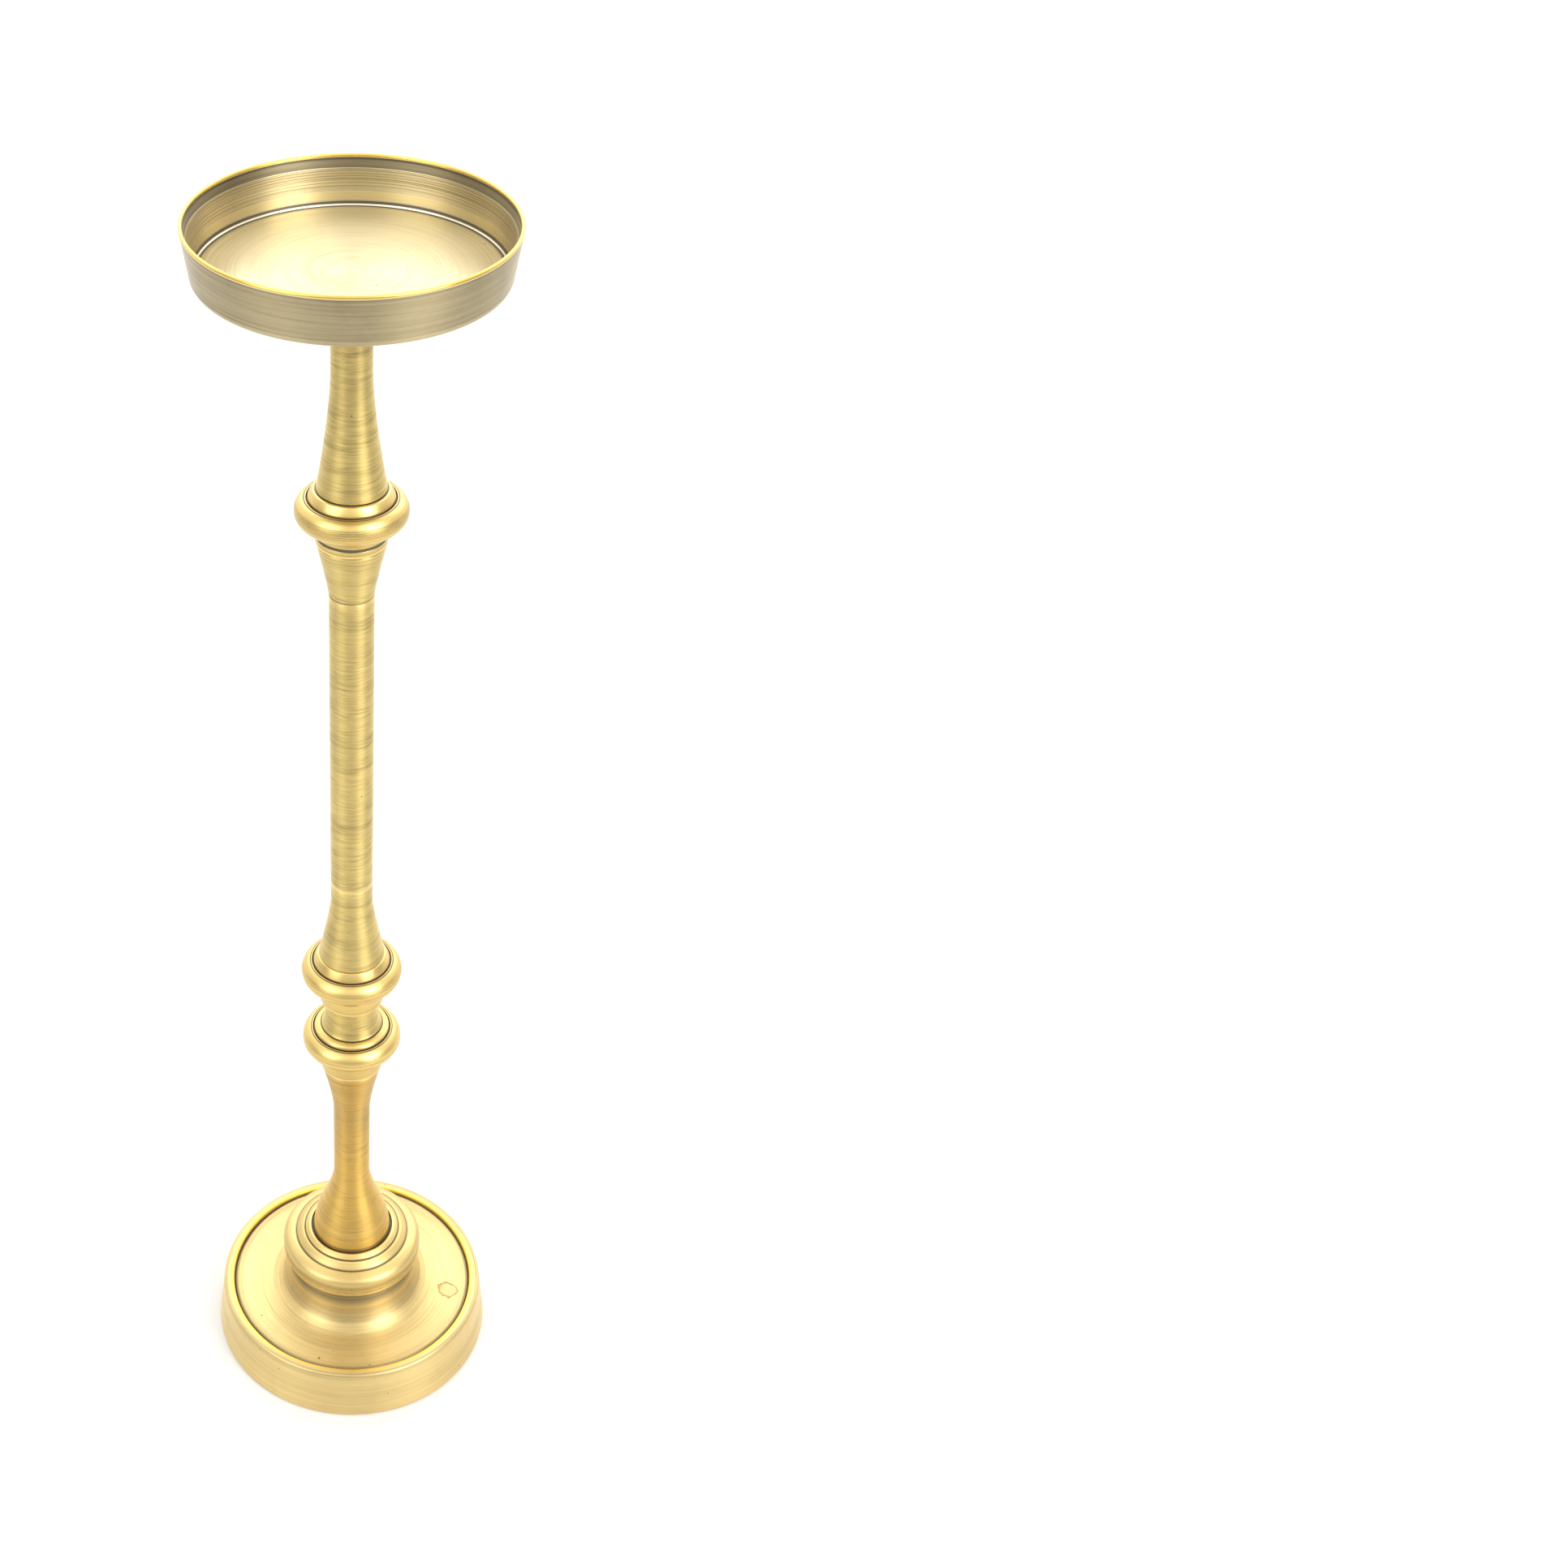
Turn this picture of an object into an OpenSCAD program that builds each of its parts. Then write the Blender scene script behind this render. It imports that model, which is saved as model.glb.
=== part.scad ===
// Tall pillar candle holder in antique brass: a shallow pan on a turned
// stem, over a round weighted base.  Millimetres, +Z up.  The origin is the
// centre of the foot, on the surface that the holder stands on.

/* [Base] */
// Diameter of the base skirt at the floor
skirt_foot_d = 115.2; // [110:0.2:122]
// Diameter of the base skirt just under its rim
skirt_rim_d = 110.6; // [110:0.2:116]
// Height of the base rim above the floor
rim_top = 23.2; // [22.5:0.1:28]
// Diameter of the seam between the rim and the dish
seam_d = 101.8; // [98:0.2:104]
// Height of the top face of the hub
hub_top = 42; // [40:0.5:50]
// Diameter of the hub's neck
hub_d = 53.4; // [48:0.2:56]
// Radius of the cove between the hub and the dish
cove_r = 9.8; // [7:0.2:11]
// Sheet thickness of the dish
dish_t = 2; // [1.5:0.1:2.4]

/* [Base collar] */
// Diameter of the stepped base collar
base_collar_d = 58; // [56:0.2:62]
// Height of the stepped base collar up to its outer step
base_collar_h = 10; // [9:0.2:12]
// Depth of the recess that the column stands in
column_recess = 1.4; // [1:0.1:2]

/* [Stem] */
// Length of the lower column
column_len = 97.5; // [90:0.5:130]
// Diameter of the lower column at its waist
column_d = 14.8; // [13:0.2:17]
// Diameter of the bell at the foot of the column
bell_d = 31.8; // [28:0.2:33]
// Length of the spool between the two lower collars
spool_len = 13.6; // [12:0.2:20]
// Diameter of the spool at its waist
spool_d = 20.5; // [18:0.1:22]
// Length of the ferrule under the tube
bottom_ferrule_len = 35.1; // [32:0.1:40]
// Length of tube that shows between the ferrules
tube_len = 128.2; // [100:0.2:180]
// Outer diameter of the tube
tube_d = 15.8; // [15.4:0.1:16.2]
// Wall thickness of the tube
tube_wall = 1; // [0.8:0.1:1.2]
// Length of the ferrule over the tube
top_ferrule_len = 21.1; // [20:0.1:30]
// Length of the upper stem, up to the washer under the pan
upper_len = 73; // [70:0.5:90]
// Diameter of the upper stem at its waist
upper_d = 13.8; // [13.4:0.1:15]

/* [Collars] */
// Diameter of the bead around each collar
bead_d = 38.8; // [37:0.2:42]
// Radius of the bead's section
bead_r = 5; // [4.6:0.1:5.4]
// Diameter of the cap above each bead
cap_d = 29.4; // [28.4:0.2:30]
// Diameter of the foot under each bead
foot_d = 24.6; // [24:0.2:25.2]

/* [Pan] */
// Diameter over the beaded rim
pan_d = 106.4; // [100:0.2:120]
// Diameter of the wall at its foot
pan_foot_d = 101.2; // [96:0.2:118]
// Thickness of the bead around the rim
rim_bead_d = 1.4; // [1.2:0.1:2]
// Height of the pan from its underside to the top of its rim
pan_h = 17.8; // [14:0.2:24]
// Thickness of the pan's wall
pan_wall = 1; // [0.8:0.1:1.4]
// Thickness of the pan's floor
pan_floor = 1.6; // [1.2:0.1:2.4]

/* [Fittings] */
// Diameter of the tie rod
rod_d = 6; // [5:0.5:6]
// Diameter of the pan's stud
stud_d = 7.9; // [7:0.1:8]
// Radial gap between the stud and the insert
stud_gap = 0.05; // [0.02:0.01:0.1]
// Thickness of the felt pad
felt_t = 1.2; // [1:0.1:2]
// Width across the flats of the foot nut
nut_af = 10; // [9:0.5:11]

/* [Hidden] */
$fn = 128;

// Colours
pan_brass = "#b59a5e";
stem_brass = "#d8b665";
collar_brass = "#e3c477";
base_brass = "#dcb96c";
steel = "#9a9c9e";
iron = "#3b3a39";
fibre = "#7a5a3c";
felt_green = "#2f4637";

// Clear hole for the tie rod through every turned piece
bore_r = rod_d / 2 + 0.4;

// Cap and foot heights of the collars, measured from the middle of the bead
bottom_cap = 6.8;
middle_cap = 8.5;
top_cap = 8.1;
long_foot = 14.9;
short_foot = 12.4;

// Heights of the joints between the pieces, from the floor up
skirt_foot = 0.4;
ledge_z = rim_top - 3.3;
ledge_t = 2.3;
column_z = hub_top + base_collar_h + 3.8 - column_recess;
bottom_collar_z = column_z + column_len + long_foot;
spool_z = bottom_collar_z + bottom_cap;
middle_collar_z = spool_z + spool_len + long_foot;
bottom_ferrule_z = middle_collar_z + middle_cap;
tube_z = bottom_ferrule_z + bottom_ferrule_len;
top_ferrule_z = tube_z + tube_len;
top_collar_z = top_ferrule_z + top_ferrule_len + short_foot;
upper_z = top_collar_z + top_cap;
washer_z = upper_z + upper_len;
washer_t = 0.8;
stud_z = washer_z + washer_t;
stud_plate_t = 2;
pan_z = stud_z + stud_plate_t;

// Threaded insert in the upper stem
insert_r = 5.2;
insert_len = 24;
insert_z = washer_z - insert_len - 2.4;
stud_len = 15;
rod_top = stud_z - stud_len - 2;

// Nut pocket under the ballast
cover_t = 1;
ballast_z = felt_t + cover_t;
pocket_top = ballast_z + 10;
rod_washer_t = 1.4;
spring_washer_t = 1.6;
nut_h = 5;
nut_z = pocket_top - rod_washer_t - spring_washer_t - nut_h;

// Spigots of the ferrules inside the tube
spigot_r = tube_d / 2 - tube_wall - 0.05;
spigot_len = 8;

// Points along an arc from angle a0 to a1 about (x, z)
function arc(x, z, r, a0, a1, n = 12) =
    [for (i = [0:n]) let (a = a0 + (a1 - a0) * i / n) [x + r * cos(a), z + r * sin(a)]];

// Points along a flare from (r0, z0) to (r1, z1); a power above 1 starts
// it straight and opens it late
function flare(r0, z0, r1, z1, power, n = 14) =
    [for (i = [0:n]) let (t = i / n) [r0 + (r1 - r0) * pow(t, power), z0 + (z1 - z0) * t]];

// Points along a taper from (r0, z0) to (r1, z1) that starts open and ends
// straight
function taper(r0, z0, r1, z1, power, n = 20) =
    [for (i = [0:n]) let (t = i / n) [r1 + (r0 - r1) * pow(1 - t, power), z0 + (z1 - z0) * t]];

// Points along an ogee from (r0, z0) to (r1, z1)
function ogee(r0, z0, r1, z1, n = 18) =
    [for (i = [0:n]) let (t = i / n, s = 0.35 * (1 + cos(180 * t)) + 0.3 * (1 - t))
        [r1 + (r0 - r1) * s, z0 + (z1 - z0) * t]];

// Solid turned from a list of [radius, height] points
module turned(points) {
    rotate_extrude()
        polygon(points);
}

// Collar with a cap, a groove, a round bead and a foot, all about the
// middle of the bead
module collar(z, cap_h, foot_h) {
    bead_x = bead_d / 2 - bead_r;
    cap_r = cap_d / 2;
    foot_r = foot_d / 2;
    color(collar_brass)
    translate([0, 0, z])
    turned(concat(
        [
            [bore_r, cap_h],
            [bore_r, -foot_h],
            [foot_r - 0.5, -foot_h],
            [foot_r - 0.1, 0.6 - foot_h],
            [foot_r, 1.1 - foot_h],
            [foot_r - 0.25, 1.4 - foot_h],
            [foot_r, 1.7 - foot_h],
            [foot_r, -9.2],
            [foot_r - 0.2, -9],
            [foot_r, -8.7],
            [foot_r - 0.2, -7.4],
            [foot_r - 0.2, -6]
        ],
        arc(bead_x, 0, bead_r, -108, 76, 28),
        [
            [cap_r + 0.5, 4.1],
            [cap_r + 0.1, 4.1],
            [cap_r, 5.5],
            [cap_r - 0.25, 5.95],
            [12.9, cap_h - 0.12],
            [12.6, cap_h]
        ]
    ));
}

// Dish with a flared wall, a small bead around its rim and a flat floor
module pan() {
    top = pan_z + pan_h;
    seat_z = pan_z + pan_floor;
    rim_r = pan_d / 2;
    foot_r = pan_foot_d / 2;
    bead_r = rim_bead_d / 2;
    in_r = rim_r - 0.25 - pan_wall;
    in_foot_r = foot_r - pan_wall;
    color(pan_brass)
    turned(concat(
        [
            [0, seat_z],
            [0, pan_z]
        ],
        arc(foot_r - 2.2, pan_z + 2.2, 2.2, -90, 0, 8),
        [[rim_r - 0.3, top - bead_r - 0.75]],
        arc(rim_r - bead_r, top - bead_r, bead_r, -50, 200, 16),
        [
            [in_r, top - 1.5],
            [in_r - 0.8, top - 4.4],
            [in_foot_r + 0.6, top - 11.4],
            [in_foot_r + 0.3, seat_z + 1.8]
        ],
        arc(in_foot_r - 1, seat_z + 1, 1, 0, -90, 6)
    ));
}

// Round plate under the pan with the plain shank of its threaded stud
module pan_stud() {
    color(steel)
    turned([
        [0, pan_z],
        [0, stud_z - stud_len],
        [stud_d / 2 - 0.6, stud_z - stud_len],
        [stud_d / 2, stud_z - stud_len + 0.8],
        [stud_d / 2, stud_z],
        [13.4, stud_z],
        [14, stud_z + 0.5],
        [14, pan_z]
    ]);
}

// Fibre washer between the pan's plate and the upper stem
module pan_washer() {
    color(fibre)
    translate([0, 0, washer_z])
    difference() {
        cylinder(h = washer_t, r = 10.4);
        translate([0, 0, -1])
            cylinder(h = washer_t + 2, r = stud_d / 2 + 0.3);
    }
}

// Upper stem: a long taper, a waist, and a cup under the pan
module upper_stem() {
    waist_r = upper_d / 2;
    color(stem_brass)
    difference() {
        turned(concat(
            [[0, upper_z], [11.6, upper_z]],
            taper(11.95, upper_z + 0.4, waist_r, upper_z + 42.6, 1.5),
            flare(waist_r, washer_z - 16, 10.9, washer_z - 1.2, 2.2, 12),
            [[10.9, washer_z - 0.3], [10.6, washer_z], [0, washer_z]]
        ));
        translate([0, 0, upper_z - 1])
            cylinder(h = upper_len + 2, r = bore_r);
        translate([0, 0, insert_z])
            cylinder(h = upper_len, r = insert_r + 0.05);
    }
}

// Steel insert in the upper stem: the tie rod screws in from below and
// the pan's stud from above
module stem_insert() {
    color(steel)
    translate([0, 0, insert_z])
    difference() {
        cylinder(h = insert_len, r = insert_r);
        translate([0, 0, -1])
            cylinder(h = insert_len + 2, r = rod_d / 2 + 0.05);
        translate([0, 0, rod_top - insert_z])
            cylinder(h = insert_len, r = stud_d / 2 + stud_gap);
    }
}

module top_collar() {
    collar(top_collar_z, top_cap, short_foot);
}

module middle_collar() {
    collar(middle_collar_z, middle_cap, long_foot);
}

module bottom_collar() {
    collar(bottom_collar_z, bottom_cap, long_foot);
}

// Ferrule over the tube, with a spigot down inside it
module top_ferrule() {
    z = top_ferrule_z;
    top = z + top_ferrule_len;
    color(stem_brass)
    turned(concat(
        [
            [bore_r, top],
            [bore_r, z - spigot_len],
            [spigot_r - 0.4, z - spigot_len],
            [spigot_r, z - spigot_len + 0.4],
            [spigot_r, z],
            [tube_d / 2 - 0.1, z]
        ],
        flare(tube_d / 2 + 0.15, z + 0.3, 12, top - 0.6, 1.15, 16),
        [[11.8, top]]
    ));
}

// Plain tube between the two ferrules
module shaft_tube() {
    color(stem_brass)
    translate([0, 0, tube_z])
    difference() {
        cylinder(h = tube_len, d = tube_d);
        translate([0, 0, -1])
            cylinder(h = tube_len + 2, r = tube_d / 2 - tube_wall);
    }
}

// Ferrule under the tube, with a spigot up inside it
module bottom_ferrule() {
    z = bottom_ferrule_z;
    color(stem_brass)
    turned(concat(
        [
            [bore_r, tube_z + spigot_len],
            [bore_r, z],
            [12.3, z]
        ],
        taper(12.65, z + 0.4, tube_d / 2, tube_z - 8.6, 1.2, 16),
        [
            [tube_d / 2, tube_z - 0.3],
            [tube_d / 2 - 0.2, tube_z],
            [spigot_r, tube_z],
            [spigot_r, tube_z + spigot_len - 0.4],
            [spigot_r - 0.4, tube_z + spigot_len]
        ]
    ));
}

// Waisted spool between the middle and bottom collars
module spool() {
    top = spool_z + spool_len;
    waist_r = spool_d / 2;
    color(stem_brass)
    turned(concat(
        [
            [bore_r, top],
            [bore_r, spool_z],
            [11.7, spool_z],
            [11.9, spool_z + 0.3]
        ],
        taper(11.9, spool_z + 0.6, waist_r + 0.15, spool_z + 5.5, 2, 10),
        flare(waist_r, spool_z + 8.8, 11.3, top - 0.9, 2, 8),
        [
            [11.4, top - 0.6],
            [11.4, top - 0.2],
            [11.2, top]
        ]
    ));
}

// Lower column turned in one piece: a bell at the foot, a straight waist
// and a flare under the bottom collar
module lower_column() {
    z = column_z;
    top = z + column_len;
    waist_r = column_d / 2;
    color(stem_brass)
    turned(concat(
        [
            [bore_r, top],
            [bore_r, z],
            [bell_d / 2 - 0.3, z],
            [bell_d / 2, z + 0.4]
        ],
        ogee(bell_d / 2, z + 3.6, waist_r, z + 35.6),
        flare(waist_r, top - 24.9, 11.85, top - 0.6, 1.4, 16),
        [
            [11.85, top - 0.3],
            [11.6, top]
        ]
    ));
}

// Stepped collar between the column and the base: two rings over a bead
module base_collar() {
    z = hub_top;
    out_r = base_collar_d / 2;
    step = z + base_collar_h;
    recess_r = bell_d / 2 + 1.15;
    color(collar_brass)
    turned(concat(
        [
            [bore_r, column_z],
            [bore_r, z],
            [out_r - 0.5, z],
            [out_r - 0.2, z + 0.3],
            [out_r - 0.05, z + 2.1],
            [out_r - 0.25, z + 2.3],
            [out_r, z + 2.5],
            [out_r, step - 5]
        ],
        arc(out_r - 3.4, step - 4.1, 3.4, 0, 62, 10),
        [
            [out_r - 4.9, step],
            [out_r - 5.2, step - 0.9],
            [out_r - 5.6, step - 0.9],
            [out_r - 5.7, step + 0.45],
            [out_r - 6, step + 0.75],
            [out_r - 8.7, step + 2.35],
            [out_r - 9, step + 1.4],
            [out_r - 9.5, step + 1.4],
            [out_r - 9.7, step + 2.8],
            [out_r - 10, step + 3.1],
            [recess_r + 0.6, step + 3.8],
            [recess_r + 0.1, step + 3.7],
            [recess_r, column_z]
        ]
    ));
}

// Concave dish around a hollow hub; its edge stands in the skirt
module base_dish() {
    edge_r = seam_d / 2 - 0.1;
    hub_r = hub_d / 2;
    foot_z = rim_top - 0.6;
    color(base_brass)
    turned(concat(
        [
            [bore_r + 0.6, hub_top],
            [bore_r + 0.6, hub_top - dish_t - 0.5],
            [hub_r - dish_t, hub_top - dish_t - 0.5]
        ],
        [for (i = [0:10]) let (a = 180 + 9 * i, r = cove_r + dish_t)
            [hub_r + 0.4 + cove_r + r * cos(a), foot_z + cove_r + r * sin(a)]],
        [
            [edge_r - 2.6, ledge_z + 0.6],
            [edge_r - 2.6, ledge_z],
            [edge_r, ledge_z],
            [edge_r, rim_top - 1.5],
            [edge_r - 0.6, rim_top - 1.2],
            [edge_r - 4.2, rim_top - 1.4],
            [edge_r - 9, rim_top - 1]
        ],
        [for (i = [0:12]) let (a = 270 - 7.5 * i)
            [hub_r + 0.4 + cove_r * (1 + cos(a)), foot_z + cove_r * (1 + sin(a))]],
        [
            [hub_r, hub_top - 5],
            [hub_r, hub_top]
        ]
    ));
}

// Flared skirt with a rounded rim and an inner ledge that carries the dish
module base_skirt() {
    in_r = seam_d / 2;
    foot_r = skirt_foot_d / 2;
    rim_r = skirt_rim_d / 2;
    ledge_low = ledge_z - ledge_t;
    color(base_brass)
    turned(concat(
        [
            [foot_r - 1.9, skirt_foot],
            [foot_r - 0.4, skirt_foot],
            [foot_r, skirt_foot + 0.5],
            [foot_r, skirt_foot + 1.4],
            [rim_r, rim_top - 1.2]
        ],
        arc(rim_r - 1.1, rim_top - 1.1, 1.1, 5, 90, 7),
        arc(in_r + 1, rim_top - 0.9, 0.9, 90, 180, 6),
        [
            [in_r, rim_top - 1.6],
            [in_r, ledge_z],
            [in_r - 2.4, ledge_z],
            [in_r - 2.4, ledge_low],
            [rim_r - 2.6, ledge_low],
            [rim_r - 1.9, ledge_low - 2]
        ]
    ));
}

// Cast-iron ballast: a disc under the skirt's ledge, a boss up to the hub,
// and a pocket below for the nut
module ballast() {
    boss_top = hub_top - dish_t - 0.5;
    disc_top = ledge_z - ledge_t;
    disc_r = seam_d / 2 + 0.6;
    color(iron)
    difference() {
        turned([
            [0, ballast_z],
            [disc_r - 1, ballast_z],
            [disc_r, ballast_z + 1],
            [disc_r, disc_top],
            [16, disc_top],
            [13, disc_top + 4],
            [12, boss_top],
            [0, boss_top]
        ]);
        cylinder(h = boss_top + 1, r = bore_r);
        cylinder(h = pocket_top, r = 10.5);
    }
}

// Tie rod from the foot nut up into the stem insert
module tie_rod() {
    color(steel)
    translate([0, 0, ballast_z + 0.8])
        cylinder(h = rod_top - ballast_z - 0.8, d = rod_d);
}

// Flat washer at the top of the nut pocket
module rod_washer() {
    color(steel)
    translate([0, 0, pocket_top - rod_washer_t])
    difference() {
        cylinder(h = rod_washer_t, r = 9);
        translate([0, 0, -1])
            cylinder(h = rod_washer_t + 2, r = rod_d / 2 + 0.2);
    }
}

// Split spring washer above the nut
module spring_washer() {
    color(steel)
    translate([0, 0, nut_z + nut_h])
    difference() {
        cylinder(h = spring_washer_t, r = 5.2);
        translate([0, 0, -1])
            cylinder(h = spring_washer_t + 2, r = rod_d / 2 + 0.15);
        translate([0, -0.5, -1])
            cube([8, 1, spring_washer_t + 2]);
    }
}

// Hexagon nut on the foot of the tie rod
module foot_nut() {
    color(steel)
    translate([0, 0, nut_z])
    difference() {
        cylinder(h = nut_h, r = nut_af / sqrt(3), $fn = 6);
        translate([0, 0, -1])
            cylinder(h = nut_h + 2, r = rod_d / 2 + 0.05);
    }
}

// Sheet-steel cover over the nut pocket
module bottom_cover() {
    color(steel)
    translate([0, 0, felt_t])
        cylinder(h = cover_t, r = skirt_foot_d / 2 - 3.4);
}

// Felt pad that the holder stands on
module felt_pad() {
    color(felt_green)
    cylinder(h = felt_t, r = skirt_foot_d / 2 - 4);
}

pan();
pan_stud();
pan_washer();
upper_stem();
stem_insert();
top_collar();
top_ferrule();
shaft_tube();
bottom_ferrule();
middle_collar();
spool();
bottom_collar();
lower_column();
base_collar();
base_dish();
base_skirt();
ballast();
tie_rod();
rod_washer();
spring_washer();
foot_nut();
bottom_cover();
felt_pad();
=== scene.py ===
"""Visible pieces, finishes and studio for a turned brass pillar candle holder."""

import math

import bmesh
import bpy
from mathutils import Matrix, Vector


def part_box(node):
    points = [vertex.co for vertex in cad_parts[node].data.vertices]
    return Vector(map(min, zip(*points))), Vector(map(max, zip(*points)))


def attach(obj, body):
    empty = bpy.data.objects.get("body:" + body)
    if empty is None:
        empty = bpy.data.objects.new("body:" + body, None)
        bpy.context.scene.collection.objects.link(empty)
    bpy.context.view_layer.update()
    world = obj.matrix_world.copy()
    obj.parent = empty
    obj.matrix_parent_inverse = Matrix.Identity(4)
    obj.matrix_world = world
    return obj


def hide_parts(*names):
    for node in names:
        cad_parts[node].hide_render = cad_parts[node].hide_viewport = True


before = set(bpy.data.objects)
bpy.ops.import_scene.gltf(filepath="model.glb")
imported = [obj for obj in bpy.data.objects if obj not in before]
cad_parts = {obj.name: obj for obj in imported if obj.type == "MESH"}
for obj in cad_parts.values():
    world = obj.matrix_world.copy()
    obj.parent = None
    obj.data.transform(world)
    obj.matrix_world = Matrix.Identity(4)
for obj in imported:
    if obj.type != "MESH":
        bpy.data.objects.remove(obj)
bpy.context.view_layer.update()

bl_info = {
    "name": "Turned Candle Holder",
    "version": (1, 0, 0),
    "blender": (4, 5, 0),
    "location": "View3D > Sidebar > Candle Holder",
    "description": "Builds a turned brass pillar candle holder and a small studio",
    "category": "Object",
}

MM = 0.001
FULL_TURN = 2 * math.pi


# The output of Texture Coordinate that holds an object's own coordinates
OBJECT_COORDINATES = 3

# How each collar differs: height of its cap over the middle of its bead, places of the turning
# lines along the front of the bead, dark wax and painted shade on that front (below 0 it
# lightens it), and width of the painted shadow on its foot under the bead
COLLARS = {
    "top_collar": {"cap": 8.1, "lines": (0.1, 0.3, 0.5, 0.72, 0.9), "front_tone_and_shade": 0.36, "shadow_band": 0.95},
    "middle_collar": {"cap": 8.5, "lines": (0.2, 0.65), "front_tone_and_shade": 0.2, "shadow_band": 0.3},
    "bottom_collar": {"cap": 6.8, "lines": (0.3,), "front_tone_and_shade": -0.3, "shadow_band": 0.3},
}
# How far the spigot of each ferrule goes into the tube, in millimetres
SPIGOT_LENGTH = 8
# Rings of thread that show on the pan's stud
THREAD_TURNS = 8
# Frame pieces that keep their shapes and are finished as plated steel
STEEL_NODES = (
    "stem_insert", "tie_rod", "rod_washer", "spring_washer", "foot_nut", "bottom_cover",
)


# ---------------------------------------------------------------- sizes

def length(name, description, millimetres):
    """A length that a user can change."""
    return bpy.props.FloatProperty(
        name=name, description=description, default=millimetres * MM, unit="LENGTH"
    )


def tint(name, description, default):
    """A colour that a user can change."""
    return bpy.props.FloatVectorProperty(
        name=name, description=description, default=default, subtype="COLOR", min=0, max=1
    )


class HolderSizes(bpy.types.PropertyGroup):
    """Sizes of the turned work that the frame leaves open"""

    turn_steps: bpy.props.IntProperty(
        name="Turning steps", description="Flat strips round each wide piece", default=192, min=48, max=320
    )
    corner_angle: bpy.props.FloatProperty(
        name="Corner angle", description="Turns sharper than this are rounded", default=math.radians(24),
        subtype="ANGLE",
    )
    corner_round: length("Corner round", "Radius left on turned corners", 0.14)
    crease_reach: length("Crease reach", "How far patina spreads out of a corner", 0.9)
    pan_foot: length("Pan foot", "Radius of the pan's wall at its foot", 50.6)
    pan_wall: length("Pan wall", "Thickness of the pan's wall", 1)
    rim_bead: length("Rim bead", "Radius of the bead round the pan's rim", 0.7)
    pan_floor: length("Pan floor", "Thickness of the pan's floor", 1.6)
    rod_hole: length("Rod hole", "Radius of the hole for the tie rod", 3.4)
    bead_section: length("Bead section", "Radius of the bead on each collar", 5)
    cap_radius: length("Cap", "Radius of the cap over each bead", 14.7)
    foot_radius: length("Collar foot", "Radius of the foot under each bead", 12.3)
    taper_waist: length("Taper waist", "Smallest radius of the upper taper", 6.9)
    column_waist: length("Column waist", "Smallest radius of the lower column", 7.4)
    column_recess: length("Column recess", "Radius of the recess that the column stands in", 17.05)
    hub_radius: length("Hub", "Radius of the dish's hub", 26.7)
    hub_cove: length("Hub cove", "Radius of the hollow at the foot of the hub", 9.8)
    base_rim: length("Base rim", "Radius of the skirt at its rim", 55.3)
    thread_radius: length("Thread", "Radius of the pan's stud over its thread", 3.95)
    thread_pitch: length("Thread pitch", "Rise of the stud's thread in one turn", 1.25)


class HolderColours(bpy.types.PropertyGroup):
    """Colours of the metals and the felt"""

    brass: tint("Stem brass", "Olive-gold brass of the stem", (0.76, 0.585, 0.21))
    brass_pale: tint("Pale brass", "Creamier brass of the base", (0.80, 0.61, 0.265))
    brass_rich: tint("Rich brass", "Golden brass of the beaded collars", (0.78, 0.56, 0.185))
    brass_dull: tint("Dull brass", "Duller brass of the stepped collar", (0.70, 0.525, 0.205))
    brass_warm: tint("Warm brass", "Redder brass of the lower column", (0.74, 0.47, 0.11))
    # Greyer brass of the pan, partly a painted dim grey reflection on its outer wall.
    brass_grey: tint("Grey brass", "Duller brass of the pan", (0.60, 0.50, 0.30))
    brass_deep: tint("Deep brass", "Brass in the turning lines", (0.34, 0.25, 0.08))
    stain: tint("Stain", "Tan blemish on the base", (0.36, 0.24, 0.085))
    # Dark wax in grooves and corners; the same colour is painted as shade in hollows, seams and under
    # beads.
    patina_and_shade: tint("Patina", "Dark wax left in grooves and corners", (0.135, 0.12, 0.082))
    # Edges worn bright, and painted highlights on bead tops and wherever a contour's mark is below 0.
    rubbed_and_highlit: tint("Rubbed edge", "Brass where edges are rubbed bright", (0.95, 0.72, 0.27))
    # Painted reflection: deep gold along the pan's rim bead and the base's rim edges.
    gilt_reflection: tint("Gilt edge", "Deep gold on the rims", (0.92, 0.58, 0.07))
    # Painted highlight and reflection: pale gold on the pan's floor, inner wall and rim.
    pan_highlight: tint("Pan sheen", "Pale gold where the pan is polished", (0.92, 0.80, 0.47))
    # Painted highlight: the pale line along the fillet at the foot of the pan's wall.
    highlit: tint("Polished", "Pale line where a fillet is polished through", (0.96, 0.93, 0.84))
    steel: tint("Steel", "Zinc-plated fittings", (0.52, 0.53, 0.55))
    iron: tint("Iron", "Cast-iron ballast", (0.055, 0.052, 0.05))
    fibre: tint("Fibre", "Pressed fibre washer", (0.2, 0.105, 0.05))
    felt: tint("Felt", "Felt pad under the base", (0.022, 0.05, 0.032))
    floor: tint("Floor", "Plain pale floor", (0.62, 0.62, 0.615))


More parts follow.
